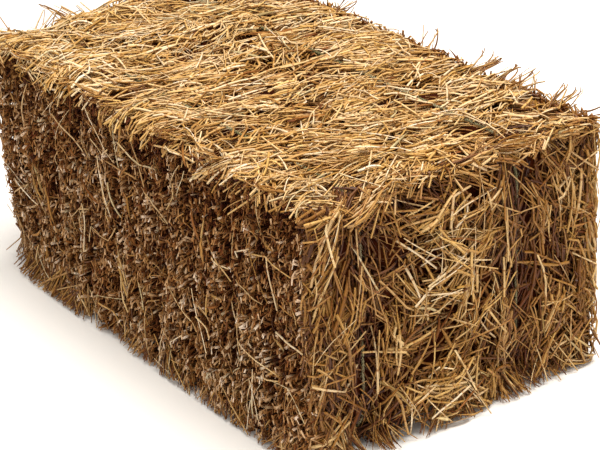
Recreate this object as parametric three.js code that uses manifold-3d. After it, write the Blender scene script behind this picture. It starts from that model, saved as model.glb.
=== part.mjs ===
// Small square straw bale: nine pressed flakes side by side, held by two loops of twine.
// Millimetres, +Z up. X runs along the bale's length, Y across its width. The origin is the middle
// of the underside. The cut side faces -Y and the folded side faces +Y.
import * as THREE from "three";
import { mergeVertices } from "three/addons/utils/BufferGeometryUtils.js";
import Module from "manifold-3d";

const wasm = await Module();
wasm.setup();

// Driving dimensions of the bale.
const baleLength = 800;
const baleWidth = 460;
const baleHeight = 360;
const flakeCount = 9;
const flakeGap = 0.3;

// The long edges of a flake. The cut side is squarer than the folded side.
const cutEdgeRadius = 16;
const foldedEdgeRadius = 34;
const cornerSteps = 5;

// Two neighbouring flakes meet in a furrow, and the bale's two ends are rounded more.
const furrowDepth = 7;
const furrowHalfWidth = 9;
const endRounding = 24;
const endSteps = 3;

// A flake is this much narrower or lower than the fullest one, at most. The phases are the radians
// from one flake to the next, so that no two neighbours are alike.
const widthVariation = 5;
const heightVariation = 3;
const widthPhase = 2.1;
const heightPhase = 2.9;

// The twines, and how far they are pulled into the straw.
const twineDiameter = 4.5;
const twineSpacing = 250;
const twineMiddleY = -25;
const twineSinkOnFaces = 9;
const twineSinkOnEnds = 17;
const twineTurnRadius = 58;
const twineSteps = 78;
const twineSides = 8;
const quarterArcHandle = 0.5523; // how far a Bezier handle reaches towards the corner of a quarter turn

// The groove that a twine presses into the flakes.
const grooveHalfWidth = 20;
const grooveFloorHalfWidth = 7;
const grooveSlopeAcross = 0.7; // on the groove's slope, this share of the way out to its rim
const grooveSlopeDepth = 0.45; // and there, this share of its full depth
const grooveTurnRadius = twineTurnRadius + 8;
const grooveProud = 2;
const grooveRimRadius = 1;
const bandMargin = 30;
const bandTrim = 0.02;
const clearance = 0.35;

// The knot that closes each loop, and its two tails.
const knotHeight = 24;
const knotWidth = 10;
const knotThickness = 9;
const tailLength = 34;
const tailSpread = 9;
const tailLean = 6;
const tailSteps = 4;
const tailStart = 0.2; // as a share of the knot's height, from its middle
const tailMiddleLean = 1 / 3; // as a share of the lean at the tip
const knotEntry = 4;
const knotSides = 12;
const knotRows = 8;

const weldDistance = 1e-4;
const strawColour = 0xb98a45;
const sisalColour = 0x8b8058;

const straw = new THREE.MeshStandardMaterial({ color: strawColour, roughness: 0.75, metalness: 0 });
const sisal = new THREE.MeshStandardMaterial({ color: sisalColour, roughness: 0.9, metalness: 0 });

// Points round a rectangle with its own corner radius on the low side and on the high side of u.
function roundedOutline(u0, u1, v0, v1, radiusLow, radiusHigh) {
  const corners = [
    [u1 - radiusHigh, v0 + radiusHigh, radiusHigh, -Math.PI / 2],
    [u1 - radiusHigh, v1 - radiusHigh, radiusHigh, 0],
    [u0 + radiusLow, v1 - radiusLow, radiusLow, Math.PI / 2],
    [u0 + radiusLow, v0 + radiusLow, radiusLow, Math.PI],
  ];
  const points = [];
  for (const [u, v, radius, start] of corners) {
    for (let step = 0; step <= cornerSteps; step += 1) {
      const angle = start + (Math.PI / 2) * (step / cornerSteps);
      points.push(new THREE.Vector2(u + radius * Math.cos(angle), v + radius * Math.sin(angle)));
    }
  }
  return points;
}

// A closed body through rings of matching points, capped by a fan at each end.
function loft(rings) {
  const positions = [];
  const indices = [];
  const sides = rings[0].length;
  for (const ring of rings) {
    for (const point of ring) positions.push(point.x, point.y, point.z);
  }
  for (let row = 0; row < rings.length - 1; row += 1) {
    for (let side = 0; side < sides; side += 1) {
      const a = row * sides + side;
      const b = row * sides + ((side + 1) % sides);
      indices.push(a, b, b + sides, a, b + sides, a + sides);
    }
  }
  for (const [row, facesBack] of [[0, true], [rings.length - 1, false]]) {
    const middle = new THREE.Vector3();
    for (const point of rings[row]) middle.addScaledVector(point, 1 / sides);
    const hub = positions.length / 3;
    positions.push(middle.x, middle.y, middle.z);
    for (let side = 0; side < sides; side += 1) {
      const a = row * sides + side;
      const b = row * sides + ((side + 1) % sides);
      indices.push(...(facesBack ? [hub, b, a] : [hub, a, b]));
    }
  }
  const geometry = new THREE.BufferGeometry();
  geometry.setAttribute("position", new THREE.Float32BufferAttribute(positions, 3));
  geometry.setIndex(indices);
  return geometry;
}

// A three.js geometry as a manifold solid, and back.
function toSolid(geometry) {
  const bare = geometry.clone();
  bare.deleteAttribute("normal");
  bare.deleteAttribute("uv");
  const merged = mergeVertices(bare, weldDistance);
  return new wasm.Manifold(new wasm.Mesh({
    numProp: 3,
    vertProperties: new Float32Array(merged.attributes.position.array),
    triVerts: new Uint32Array(merged.index.array),
  }));
}

function toGeometry(solid) {
  const mesh = solid.getMesh();
  const geometry = new THREE.BufferGeometry();
  geometry.setAttribute("position", new THREE.BufferAttribute(new Float32Array(mesh.vertProperties), 3));
  geometry.setIndex(new THREE.BufferAttribute(new Uint32Array(mesh.triVerts), 1));
  geometry.computeVertexNormals();
  return geometry;
}

// A flake's cross-section at one place along the bale, pulled in by inset all round.
function flakeRing(x, inset, sideLoss, topLoss) {
  const outline = roundedOutline(
    -baleWidth / 2 + sideLoss + inset,
    baleWidth / 2 - sideLoss - inset,
    inset,
    baleHeight - topLoss - inset,
    cutEdgeRadius,
    foldedEdgeRadius,
  );
  return outline.map((point) => new THREE.Vector3(x, point.x, point.y));
}

// How the sections change from a flake's face inwards: a furrow, or the bale's rounded end.
function furrowStations() {
  return [[0, furrowDepth], [furrowHalfWidth, 0]];
}

function endStations() {
  const stations = [];
  for (let step = 0; step <= endSteps; step += 1) {
    const angle = (Math.PI / 2) * (step / endSteps);
    stations.push([endRounding * (1 - Math.cos(angle)), endRounding * (1 - Math.sin(angle))]);
  }
  return stations;
}

function flakeBody(index) {
  const pitch = baleLength / flakeCount;
  const isFirst = index === 0;
  const isLast = index === flakeCount - 1;
  const x0 = -baleLength / 2 + index * pitch + (isFirst ? 0 : flakeGap / 2);
  const x1 = x0 + pitch - flakeGap + (isFirst || isLast ? flakeGap / 2 : 0);
  const middleIndex = (flakeCount - 1) / 2;
  const sideLoss = (widthVariation / 2) * (1 - Math.cos(widthPhase * (index - middleIndex)));
  const topLoss = (heightVariation / 2) * (1 - Math.cos(heightPhase * (index - middleIndex)));
  const low = isFirst ? endStations() : furrowStations();
  const high = isLast ? endStations() : furrowStations();
  const rings = [
    ...low.map(([depth, inset]) => flakeRing(x0 + depth, inset, sideLoss, topLoss)),
    ...high.reverse().map(([depth, inset]) => flakeRing(x1 - depth, inset, sideLoss, topLoss)),
  ];
  return toSolid(loft(rings));
}

// Everything outside the twine's groove floor, in a band round the bale at y: the band is lofted
// through outlines that sink from just outside the bale to the groove floor and come back out.
function grooveBand(y) {
  const floorOnFaces = twineSinkOnFaces + twineDiameter / 2 + clearance;
  const floorOnEnds = twineSinkOnEnds + twineDiameter / 2 + clearance;
  const floorShare = grooveFloorHalfWidth / grooveHalfWidth;
  const slope = [grooveSlopeAcross, grooveSlopeDepth];
  const profile = [[-1, 0], [-slope[0], slope[1]], [-floorShare, 1], [floorShare, 1], slope, [1, 0]];
  const rings = profile.map(([across, depth]) => {
    const faces = THREE.MathUtils.lerp(-grooveProud, floorOnFaces, depth);
    const ends = THREE.MathUtils.lerp(-grooveProud, floorOnEnds, depth);
    const radius = THREE.MathUtils.lerp(grooveRimRadius, grooveTurnRadius, depth);
    const outline = roundedOutline(
      -baleLength / 2 + ends, baleLength / 2 - ends, faces, baleHeight - faces, radius, radius,
    );
    return outline.map((point) => new THREE.Vector3(point.x, y - across * grooveHalfWidth, point.y));
  });
  const band = new THREE.BoxGeometry(
    baleLength + 2 * bandMargin, 2 * grooveHalfWidth - bandTrim, baleHeight + 2 * bandMargin,
  );
  band.translate(0, y, baleHeight / 2);
  return toSolid(band).subtract(toSolid(loft(rings)));
}

// The loop's route round the bale: from the knot on the hidden end, over the top, down the other
// end and back along the underside.
function twineRoute(y) {
  const x = baleLength / 2 - twineSinkOnEnds;
  const top = baleHeight - twineSinkOnFaces;
  const bottom = twineSinkOnFaces;
  const r = twineTurnRadius;
  const at = (px, pz) => new THREE.Vector3(px, y, pz);
  const turn = (from, corner, to) => new THREE.CubicBezierCurve3(
    from, from.clone().lerp(corner, quarterArcHandle), to.clone().lerp(corner, quarterArcHandle), to,
  );
  const route = new THREE.CurvePath();
  route.add(new THREE.LineCurve3(at(-x, baleHeight / 2 + knotEntry), at(-x, top - r)));
  route.add(turn(at(-x, top - r), at(-x, top), at(-x + r, top)));
  route.add(new THREE.LineCurve3(at(-x + r, top), at(x - r, top)));
  route.add(turn(at(x - r, top), at(x, top), at(x, top - r)));
  route.add(new THREE.LineCurve3(at(x, top - r), at(x, bottom + r)));
  route.add(turn(at(x, bottom + r), at(x, bottom), at(x - r, bottom)));
  route.add(new THREE.LineCurve3(at(x - r, bottom), at(-x + r, bottom)));
  route.add(turn(at(-x + r, bottom), at(-x, bottom), at(-x, bottom + r)));
  route.add(new THREE.LineCurve3(at(-x, bottom + r), at(-x, baleHeight / 2 - knotEntry)));
  return route;
}

function roundSection() {
  const shape = new THREE.Shape();
  for (let side = 0; side < twineSides; side += 1) {
    const angle = (2 * Math.PI * side) / twineSides;
    const u = (twineDiameter / 2) * Math.cos(angle);
    const v = (twineDiameter / 2) * Math.sin(angle);
    if (side === 0) shape.moveTo(u, v);
    else shape.lineTo(u, v);
  }
  shape.closePath();
  return shape;
}

function cordAlong(path, steps) {
  return toSolid(new THREE.ExtrudeGeometry(roundSection(), { extrudePath: path, steps, curveSegments: 1 }));
}

// The knot stands just clear of the groove floor, and its two tails lean outwards from it.
function twineBody(y) {
  const floorX = -baleLength / 2 + twineSinkOnEnds + twineDiameter / 2;
  const knotX = floorX - knotThickness / 2;
  const knot = new THREE.SphereGeometry(0.5, knotSides, knotRows);
  knot.scale(knotThickness, knotWidth, knotHeight);
  knot.translate(knotX, y, baleHeight / 2);
  let body = cordAlong(twineRoute(y), twineSteps).add(toSolid(knot));
  for (const side of [-1, 1]) {
    const tail = new THREE.QuadraticBezierCurve3(
      new THREE.Vector3(knotX, y, baleHeight / 2 + side * knotHeight * tailStart),
      new THREE.Vector3(
        knotX - tailLean * tailMiddleLean, y + (side * tailSpread) / 2, baleHeight / 2 + (side * tailLength) / 2,
      ),
      new THREE.Vector3(knotX - tailLean, y + side * tailSpread, baleHeight / 2 + side * tailLength),
    );
    body = body.add(cordAlong(tail, tailSteps));
  }
  return body;
}

const bale = new THREE.Group();
const twines = {
  twine_cut_side: twineMiddleY - twineSpacing / 2,
  twine_folded_side: twineMiddleY + twineSpacing / 2,
};
const grooves = Object.values(twines).map(grooveBand);

for (let index = 0; index < flakeCount; index += 1) {
  const body = grooves.reduce((solid, groove) => solid.subtract(groove), flakeBody(index));
  const flake = new THREE.Mesh(toGeometry(body), straw.clone());
  flake.name = `flake_${index + 1}`;
  bale.add(flake);
}
for (const [name, y] of Object.entries(twines)) {
  const twine = new THREE.Mesh(toGeometry(twineBody(y)), sisal.clone());
  twine.name = name;
  bale.add(twine);
}

export default bale;
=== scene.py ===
import math
import bpy
import numpy as np
from mathutils import Matrix, Vector


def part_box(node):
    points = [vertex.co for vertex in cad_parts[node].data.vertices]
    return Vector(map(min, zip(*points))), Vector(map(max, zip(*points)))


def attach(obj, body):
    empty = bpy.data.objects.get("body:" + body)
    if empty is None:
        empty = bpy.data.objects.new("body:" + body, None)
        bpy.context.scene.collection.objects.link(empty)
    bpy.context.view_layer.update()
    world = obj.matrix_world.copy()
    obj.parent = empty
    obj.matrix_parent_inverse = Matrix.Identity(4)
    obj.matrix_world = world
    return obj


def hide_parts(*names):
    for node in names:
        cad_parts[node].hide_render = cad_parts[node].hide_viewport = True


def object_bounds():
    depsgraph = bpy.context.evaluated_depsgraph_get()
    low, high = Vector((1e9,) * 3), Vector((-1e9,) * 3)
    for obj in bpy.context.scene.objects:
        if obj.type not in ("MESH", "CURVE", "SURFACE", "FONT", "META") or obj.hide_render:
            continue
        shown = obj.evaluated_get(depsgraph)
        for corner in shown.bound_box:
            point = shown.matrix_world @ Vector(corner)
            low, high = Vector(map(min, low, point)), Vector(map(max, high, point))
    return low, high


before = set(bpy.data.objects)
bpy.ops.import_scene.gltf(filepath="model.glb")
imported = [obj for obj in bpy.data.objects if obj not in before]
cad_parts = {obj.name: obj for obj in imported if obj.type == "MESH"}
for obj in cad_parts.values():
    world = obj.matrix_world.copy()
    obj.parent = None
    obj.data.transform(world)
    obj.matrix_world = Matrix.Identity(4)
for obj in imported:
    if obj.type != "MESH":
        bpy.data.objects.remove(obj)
cadBox = [list(corner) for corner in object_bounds()]

mm = 0.001
halfLength, halfWidth, baleHeight = cadBox[1]
flakeNames = sorted(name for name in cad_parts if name.startswith("flake"))
flakeStarts = sorted(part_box(name)[0].x for name in flakeNames)
joints = np.array(flakeStarts[1:])  # where two flakes meet, along X
twineNames = ["twine_cut_side", "twine_folded_side"]
twineRows = np.array([(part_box(name)[0].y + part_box(name)[1].y) / 2 for name in twineNames])

cameraSettings = {
    "aim": (0.120, -0.053, 0.188), "azimuth": 55.06, "elevation": 25.17, "roll": -2.2,
    "distance": 2.884, "lens": 129.1, "sensor": 36,
}


def addObject(name, data):
    thing = bpy.data.objects.new(name, data)
    bpy.context.collection.objects.link(thing)
    return thing


def awayFrom(azimuth, elevation):  # the direction a viewer or a light stands in, in degrees
    a, e = math.radians(azimuth), math.radians(elevation)
    return Vector((math.sin(a) * math.cos(e), -math.cos(a) * math.cos(e), math.sin(e)))


def addCamera(settings):
    data = bpy.data.cameras.new("camera")
    data.lens = settings["lens"]
    data.sensor_width = settings["sensor"]
    camera = addObject("camera", data)
    back = awayFrom(settings["azimuth"], settings["elevation"])
    turn = back.to_track_quat("Z", "Y").to_matrix().to_4x4()
    place = Matrix.Translation(Vector(settings["aim"]) + back * settings["distance"])
    camera.matrix_world = place @ turn @ Matrix.Rotation(math.radians(settings["roll"]), 4, "Z")
    bpy.context.scene.camera = camera


addCamera(cameraSettings)
print("camera set")


def linearColour(hexColour):  # sRGB hex to the linear colour a shader wants
    channels = [int(hexColour[i:i + 2], 16) / 255 for i in (1, 3, 5)]
    return [c / 12.92 if c <= 0.04045 else ((c + 0.055) / 1.055) ** 2.4 for c in channels] + [1.0]


def addNode(tree, kind, settings=None, inputs=None, capture=None):
    node = tree.nodes.new(kind)
    if capture:  # the name of a value that the node keeps on each point
        node.capture_items.new("FLOAT", capture)
    for name, value in (settings or {}).items():
        setattr(node, name, value)
    for name, value in (inputs or {}).items():  # a plain value, or a socket or a node to link from
        if isinstance(value, bpy.types.Node):
            value = value.outputs[0]
        if isinstance(value, bpy.types.NodeSocket):
            tree.links.new(value, node.inputs[name])
        else:
            node.inputs[name].default_value = value
    return node


def setRamp(node, stops):
    ramp = node.color_ramp
    while len(ramp.elements) < len(stops):
        ramp.elements.new(0.5)
    for element, (place, hexColour) in zip(ramp.elements, stops):
        element.position = place
        element.color = linearColour(hexColour)


def startMaterial(name):
    material = bpy.data.materials.new(name)
    material.use_nodes = True
    material.node_tree.nodes.clear()
    return material, material.node_tree


# Every fibre carries a place on one chart in its UV map: across is its hue, and up are rows from
# deep shade to full brightness. Inside a row, up is the way along the fibre from foot to tip.
# A stem is about 10 mm round, so its streaks are 2.3 mm wide: the real ones are too fine to show.
chart = {
    "rows": 16, "rowMargin": 0.06, "slack": 0.01, "hueWidth": 0.012,
    "streaksRound": 4.32, "streaksAlong": 5.625, "noiseFrom": 0.3, "noiseTo": 0.7,
}
hues = {"stem": (0.02, 0.47), "leaf": (0.50, 0.71), "cut": (0.75, 0.89), "core": (0.92, 0.98)}


def chartMaterial(name, stops, footStops, shadeStops, streak, roughness, specular):
    material, tree = startMaterial(name)
    multiply = {"data_type": "RGBA", "blend_type": "MULTIPLY"}
    uv = addNode(tree, "ShaderNodeUVMap", {"uv_map": "OFBake"})
    split = addNode(tree, "ShaderNodeSeparateXYZ", inputs={0: uv})
    scaled = addNode(tree, "ShaderNodeMath", {"operation": "MULTIPLY"}, {
        0: split.outputs[1], 1: chart["rows"],
    })
    row = addNode(tree, "ShaderNodeMath", {"operation": "FLOOR"}, {0: scaled})
    along = addNode(tree, "ShaderNodeMath", {"operation": "FRACT"}, {0: scaled})
    share = addNode(tree, "ShaderNodeMath", {"operation": "DIVIDE"}, {0: row, 1: chart["rows"] - 1.0})
    hue = addNode(tree, "ShaderNodeValToRGB", inputs={0: split})
    foot = addNode(tree, "ShaderNodeValToRGB", inputs={0: along})
    level = addNode(tree, "ShaderNodeValToRGB", inputs={0: share})
    setRamp(hue, stops)
    setRamp(foot, footStops)
    setRamp(level, shadeStops)
    grain = addNode(tree, "ShaderNodeMapping", inputs={
        0: uv,
        "Scale": (chart["streaksRound"] / chart["hueWidth"], chart["streaksAlong"] * chart["rows"], 1.0),
    })
    noise = addNode(tree, "ShaderNodeTexNoise", {"noise_dimensions": "2D"}, {
        "Vector": grain, "Scale": 1.0, "Detail": 2.0,
    })
    streaks = addNode(tree, "ShaderNodeMapRange", inputs={
        0: noise, 1: chart["noiseFrom"], 2: chart["noiseTo"], 3: 1.0 - streak, 4: 1.0 + streak,
    })
    tinted = addNode(tree, "ShaderNodeMix", multiply, {"Factor": 1.0, 6: hue, 7: foot})
    dimmed = addNode(tree, "ShaderNodeMix", multiply, {"Factor": 1.0, 6: tinted.outputs[2], 7: level})
    shaded = addNode(tree, "ShaderNodeVectorMath", {"operation": "SCALE"}, {
        0: dimmed.outputs[2], "Scale": streaks,
    })
    shader = addNode(tree, "ShaderNodeBsdfPrincipled", inputs={
        "Base Color": shaded, "Roughness": roughness, "Specular IOR Level": specular,
    })
    addNode(tree, "ShaderNodeOutputMaterial", inputs={0: shader})
    return material


# Painted shade: low chart rows tint the straw dark red-brown and high rows leave it pale; a fibre's row is
# set mostly by where shade falls on it, and partly by its own tone at random
paintedShadeRows = [(0.0, "#5c2a06"), (0.3, "#88642d"), (0.6, "#c4a980"), (0.8, "#e6dbc8"), (1.0, "#fffdf9")]
# Dry wheat stem: a waxy skin over pale fibres, so a soft gloss, streaks along it, and darker joints
wheatStem = chartMaterial(
    "wheatStem",
    [(0.02, "#8a6127"), (0.12, "#b48c43"), (0.22, "#d6b371"), (0.32, "#e7cfa6"), (0.42, "#f0e3d0"),
     (0.48, "#c9bc98")],
    [(0.0, "#b39a78"), (0.07, "#f2ead8"), (0.33, "#ffffff"), (0.36, "#b98f60"), (0.39, "#f4ead6"),
     (0.72, "#ffffff"), (0.75, "#c39a68"), (0.78, "#fbf3e2"), (1.0, "#e8d8b8")],
    paintedShadeRows, 0.16, 0.5, 0.4)
# Leaf blade and sheath: thin, dull and papery, browner where it has rotted
strawLeaf = chartMaterial(
    "strawLeaf",
    [(0.50, "#7a4c26"), (0.55, "#a5713d"), (0.60, "#c39a5e"), (0.66, "#dcc08c"), (0.72, "#b5b090")],
    [(0.0, "#a58a68"), (0.2, "#ffffff"), (0.8, "#fff6e6"), (1.0, "#c8a680")],
    paintedShadeRows, 0.2, 0.75, 0.25)
# Sliced stem: dusty and bruised by the knife, dull; painted shade darkens it towards where it leaves the
# flake, deep between the stubs
cutStem = chartMaterial(
    "cutStem",
    [(0.75, "#86482a"), (0.78, "#a97843"), (0.82, "#ceab82"), (0.86, "#f3e2d2"), (0.90, "#b5ab8c")],
    [(0.0, "#5c381a"), (0.5, "#b09472"), (0.85, "#ffffff"), (1.0, "#fff6e8")],
    paintedShadeRows, 0.22, 0.8, 0.2)
# The pressed mass behind the loose stems: dark brown, rough and dead matt, and put in dark rows of painted
# shade
pressedStraw = chartMaterial(
    "pressedStraw",
    [(0.92, "#5c2c0a"), (0.95, "#7e481a"), (0.98, "#9e6a34")],
    [(0.0, "#ffffff"), (1.0, "#ffffff")],
    paintedShadeRows, 0.3, 0.95, 0.1)

# A face of the bale is a flat frame: across, along and outward. Heights on it are measured
# outward from the CAD face.
faceTurns = {  # where each face looks, and its across
    "top": ((0, 0, 1), (0, 1, 0)), "bottom": ((0, 0, -1), (0, 1, 0)), "front": ((1, 0, 0), (0, 1, 0)),
    "back": ((-1, 0, 0), (0, -1, 0)), "cut": ((0, -1, 0), (1, 0, 0)), "folded": ((0, 1, 0), (-1, 0, 0)),
}
upright = ("front", "back", "cut", "folded")


def faceFrame(out, across):
    out, across = np.array(out, float), np.array(across, float)
    along = np.cross(out, across)
    half = np.array([halfLength, halfWidth, baleHeight / 2])
    centre = np.array([0, 0, baleHeight / 2]) + out * half
    return {"centre": centre, "across": across, "along": along, "out": out,
            "half": np.array([abs(across @ half), abs(along @ half)])}


faces = {name: faceFrame(*turn) for name, turn in faceTurns.items()}


def toWorld(face, u, v, height=0.0):
    u, v, height = np.broadcast_arrays(u, v, height)
    return face["centre"] + u[..., None] * face["across"] + v[..., None] * face["along"] \
        + height[..., None] * face["out"]


rippleWaves = 7
rippleSizes = (0.7, 1.6)  # of the wanted size
rippleSwing = 3.2  # the waves seldom add up to more


def ripple(p, q, size, seed):  # smooth, repeatable unevenness between about -1 and 1
    rng = np.random.default_rng(seed)
    total = np.zeros(np.broadcast(p, q).shape)
    for _ in range(rippleWaves):
        turn = rng.uniform(0, 2 * np.pi)
        pace = 2 * np.pi / (size * rng.uniform(*rippleSizes))
        total = total + np.sin(pace * (np.cos(turn) * p + np.sin(turn) * q) + rng.uniform(0, 2 * np.pi))
    return total / rippleSwing


def waves(p, q, rows):  # each row: height, size in metres, how much q is slowed down, and seed
    return sum(height * ripple(p, q * pace, size, seed) for height, size, pace, seed in rows)


def dip(distance, width):
    return np.exp(-(distance / width) ** 2)


def nearest(values, targets):  # signed distance to the nearest target
    gaps = np.asarray(values)[..., None] - targets
    pick = np.argmin(np.abs(gaps), axis=-1)[..., None]
    return np.take_along_axis(gaps, pick, axis=-1)[..., 0]


relief = {
    "topWaves": ((4.0 * mm, 0.16, 1.0, 11), (1.6 * mm, 0.05, 1.0, 12)),
    "sideWaves": ((2.5 * mm, 0.09, 0.5, 21), (2.5 * mm, 0.025, 0.15, 22)),
    "endWaves": ((5.0 * mm, 0.14, 1.0, 31), (3.5 * mm, 0.06, 1.0, 32)),
    "topSink": 3 * mm, "sideSink": 2 * mm, "endSink": 4 * mm,
    "furrow": 8 * mm, "furrowWidth": 7 * mm, "topFurrow": 0.45,  # between flakes, shallower on the top
    "twineDip": 4 * mm, "twineWidth": 22 * mm,     # where a twine crosses the top
    "endGroove": 9 * mm, "endGrooveWidth": 22 * mm,
    "pinch": 22 * mm, "pinchWidth": 26 * mm, "pinchReach": 42 * mm,  # where a twine turns an edge
    "belly": 7 * mm, "bellyWidth": 75 * mm,        # an end swells between its twines
    "foldedSwell": 7 * mm,
    "edge": 9 * mm, "edgeReach": 12 * mm,          # all edges are a little rounded
    "skirt": 9 * mm, "skirtReach": 60 * mm, "skirtHeight": 0.03,  # the straw spreads at the foot,
    "cutSkirt": (0.8, 0.5), "endSkirt": (0.35, 0.5),              # more of it towards +X and +Y
    "knotHollow": 10 * mm, "knotHollowHeight": 34 * mm, "knotHollowWidth": 17 * mm,
    "recess": 24 * mm, "recessBelow": 20 * mm, "recessHeight": 13 * mm, "recessWidth": 55 * mm,
    "bow": 19 * mm, "bowFrom": 0.12, "bowHeight": 150 * mm,  # the cut side bows out, most of all here,
    "bowOut": 0.5, "bowFall": (0.3, 0.7),          # and less towards the ends, the more so lower down
    "farTuck": 11 * mm, "farTuckReach": 70 * mm,   # and the foot of its far flake is drawn in
    "crown": 10 * mm, "crownAt": (-0.36, -0.15), "crownReach": 90 * mm,  # straw heaped on that corner
}


def surfaceHeight(name, world):
    x, y, z = world[..., 0], world[..., 1], world[..., 2]
    r = relief
    byTwine = nearest(y, twineRows)
    byJoint = dip(nearest(x, joints), r["furrowWidth"])
    if name in ("top", "bottom"):
        height = waves(x, y, r["topWaves"]) - r["topFurrow"] * r["furrow"] * byJoint
        if name == "top":
            byCrown = dip(np.hypot(x - r["crownAt"][0], y - r["crownAt"][1]), r["crownReach"])
            height = height + r["crown"] * byCrown
        height = height - r["twineDip"] * dip(byTwine, r["twineWidth"])
        byEnd = dip(halfLength - np.abs(x), r["pinchReach"])
        height = height - r["pinch"] * byEnd * dip(byTwine, r["pinchWidth"])
        return height - r["edge"] * dip(halfWidth - np.abs(y), r["edgeReach"]) - r["topSink"]
    if name in ("cut", "folded"):
        height = waves(x, z, r["sideWaves"]) - r["furrow"] * byJoint
        spread = r["cutSkirt"][0] + r["cutSkirt"][1] * x / halfLength if name == "cut" else 0.0
        height = height + spread * r["skirt"] * dip(z - r["skirtHeight"], r["skirtReach"])
        height = height + (r["foldedSwell"] if name == "folded" else 0.0)
        return height - r["edge"] * dip(halfLength - np.abs(x), r["edgeReach"]) - r["sideSink"]
    middle = twineRows.mean()
    height = waves(y, z, r["endWaves"]) + r["belly"] * dip(y - middle, r["bellyWidth"])
    height = height - r["endGroove"] * dip(byTwine, r["endGrooveWidth"])
    byEdge = dip(baleHeight - z, r["pinchReach"]) + dip(z, r["pinchReach"])
    height = height - r["pinch"] * dip(byTwine, r["pinchWidth"]) * byEdge
    byLip = dip(z - baleHeight + r["recessBelow"], r["recessHeight"])  # a hollow under the top's lip
    height = height - r["recess"] * byLip * dip(y - middle / 2 + r["recessWidth"], r["recessWidth"])
    if name == "back":  # the straw is combed off the two knots
        byKnot = dip(z - baleHeight / 2, r["knotHollowHeight"]) * dip(byTwine, r["knotHollowWidth"])
        height = height - r["knotHollow"] * byKnot
    spread = r["endSkirt"][0] + r["endSkirt"][1] * y / halfWidth
    return height + spread * r["skirt"] * dip(z, r["skirtReach"]) - r["endSink"]


lie = {  # how locks of stems run: angles in radians, lengths in metres
    "topWave": (0.20, 51), "topSwing": 0.45, "topSpread": 0.42,
    "foldedSpread": 0.35, "cutSpread": 0.9,
    "pinchSplit": 0.35, "pinchAbove": 0.01, "pinchBelow": 0.05,  # the two points an end's fans run from
    "fanWidth": 0.9, "fanSpread": 0.22, "fanStart": 1.2, "fanReach": 0.085, "fanShare": (0.12, 0.92),
    "levelSpread": 0.40, "levelShare": 0.7, "steepLean": 0.5, "steepSpread": 0.45,
}


def headingOn(name, rng, world):  # which way a lock runs on a face, as an angle in the face's frame
    count = len(world)
    if name in ("top", "bottom"):  # across the bale, as the stems lie in a flake
        swing = lie["topSwing"] * ripple(world[:, 0], world[:, 1], *lie["topWave"])
        return swing + rng.normal(0.0, lie["topSpread"], count)
    if name == "folded":  # bent round in the flake's own plane
        return np.pi / 2 + rng.normal(0, lie["foldedSpread"], count)
    if name == "cut":
        return np.pi / 2 + rng.normal(0, lie["cutSpread"], count)
    y, z = world[:, 1], world[:, 2]
    gap = nearest(y, twineRows)
    pinch = np.where(z > lie["pinchSplit"] * baleHeight, baleHeight + lie["pinchAbove"], -lie["pinchBelow"])
    fan = np.arctan2(z - pinch, gap * lie["fanWidth"]) + rng.normal(0, lie["fanSpread"], count)
    level = rng.normal(0, lie["levelSpread"], count)
    steep = np.pi / 2 + lie["steepLean"] * np.sign(gap) + rng.normal(0, lie["steepSpread"], count)
    fanned = rng.random(count) < np.clip(lie["fanStart"] - np.abs(gap) / lie["fanReach"], *lie["fanShare"])
    inMiddle = (y > twineRows[0]) & (y < twineRows[1]) & (rng.random(count) < lie["levelShare"])
    heading = np.where(fanned, fan, np.where(inMiddle, level, steep))
    return heading if name == "front" else np.pi - heading


edgeRadius = 12 * mm


def wrapOver(position, height, half, most):  # bends what passes an edge round and down it
    past = np.maximum(np.abs(position) - (half - edgeRadius), 0)
    angle = np.minimum(past / edgeRadius, most)
    rest = past - edgeRadius * angle
    outwards = half - edgeRadius + edgeRadius * np.sin(angle) + rest * np.cos(angle)
    drop = edgeRadius * (1 - np.cos(angle)) + rest * np.sin(angle)
    bent = past > 0
    return np.where(bent, np.sign(position) * outwards, position), height - np.where(bent, drop, 0)


proud = {"x": 28 * mm, "y": 22 * mm, "z": 19 * mm}  # how far past the CAD box a stray may reach
easing = 6 * mm  # over this last stretch before a limit, what nears it is slowed down
girth = 1.15  # a fibre's own thickness, with some to spare, against its radius


def bowed(x, y, z):  # how far the cut side's bow moves a point, none of it past the middle
    share = (x - relief["bowFrom"]) / (halfLength + relief["bowFrom"])
    low = dip(z, relief["bowHeight"])
    fall = relief["bowFall"][0] + relief["bowFall"][1] * low
    out = relief["bow"] * (relief["bowOut"] - share ** 2 * fall)
    out = out - relief["farTuck"] * low * dip(x + halfLength, relief["farTuckReach"])
    return out * np.clip(-y / halfWidth, 0, 1) ** 2


def eased(values, limit):
    size = np.abs(values)
    past = np.maximum(size - (limit - easing), 0)
    return np.sign(values) * (np.minimum(size, limit - easing) + easing * (1 - np.exp(-past / easing)))


def settle(points, radius):  # nothing below the floor or far out of the box
    points = points.copy()
    points[..., 1] -= bowed(points[..., 0], points[..., 1], points[..., 2])
    thick = radius[:, None] * girth
    x = eased(points[..., 0], halfLength + proud["x"] - thick)
    y = eased(points[..., 1], halfWidth + proud["y"] - thick)
    z = eased(points[..., 2], baleHeight + proud["z"] - thick)
    return np.stack([x, y, np.clip(z, thick, None)], axis=-1)


def stiffened(height, travel, share):  # a stem bridges what is narrower than it is long
    middle = height.mean(1, keepdims=True)
    slope = (travel * (height - middle)).sum(1, keepdims=True) / (travel ** 2).sum(1, keepdims=True)
    return height + (middle + slope * travel - height) * share


def between(rng, limits, count, power=1.0):
    return limits[0] + (limits[1] - limits[0]) * rng.uniform(0, 1, count) ** power


def sidle(values, low, high):  # moves a whole stem until it lies between two limits
    values = values - np.maximum(values.max(1) - high, 0)[:, None]
    return values + np.maximum(low - values.min(1), 0)[:, None]


def countOn(face, settings):  # how many fibres a layer has on its band of the face
    band = np.array(settings["band"])
    spread = (band[:, 1] - band[:, 0]) * face["half"]
    return band, int(settings["perSquareMetre"] * spread[0] * spread[1])


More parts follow.
